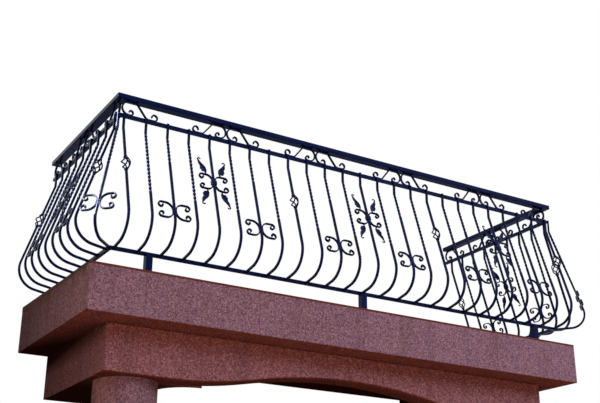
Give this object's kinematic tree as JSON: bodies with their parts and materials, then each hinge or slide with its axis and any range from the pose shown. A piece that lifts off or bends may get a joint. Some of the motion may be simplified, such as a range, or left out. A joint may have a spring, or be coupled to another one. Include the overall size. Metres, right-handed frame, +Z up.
{
  "type": "wrought iron balcony",
  "caption": "House balcony on two round columns and an arched beam, with a bellied wrought iron railing of twisted bars, baskets and scrolls.",
  "frame": {"origin": "centre of the slab's back face, on the plane of the house wall", "axes": "+Y into the house wall, +Z up, +X along the wall to the right of a viewer who faces the house"},
  "size_m": [3.7856, 1.3658, 4.35],
  "materials": {
    "plaster": "matte",
    "tile": "satin",
    "iron": "gloss"
  },
  "bodies": {
    "root": {"slab": "plaster", "floor_tiles": "tile", "front_beam": "plaster", "left_beam": "plaster", "right_beam": "plaster", "left_column": "plaster", "right_column": "plaster", "front_handrail": "iron", "left_handrail": "iron", "right_handrail": "iron", "front_mid_rail": "iron", "left_mid_rail": "iron", "right_mid_rail": "iron", "front_bottom_rail": "iron", "left_bottom_rail": "iron", "right_bottom_rail": "iron", "left_leg": "iron", "middle_leg": "iron", "right_leg": "iron", "front_scroll_band": "iron", "left_scroll_band": "iron", "right_scroll_band": "iron", "front_twisted_bars": "iron", "left_twisted_bars": "iron", "right_twisted_bars": "iron", "front_ornament_bars": "iron", "left_ornament_bars": "iron", "right_ornament_bars": "iron", "left_corner_bar": "iron", "right_corner_bar": "iron", "front_baskets": "iron", "left_baskets": "iron", "right_baskets": "iron", "front_c_scrolls": "iron", "left_c_scrolls": "iron", "right_c_scrolls": "iron", "left_corner_scrolls": "iron", "right_corner_scrolls": "iron", "front_leaf_scrolls": "iron", "left_leaf_scroll": "iron", "right_leaf_scroll": "iron"}
  },
  "joints": []
}
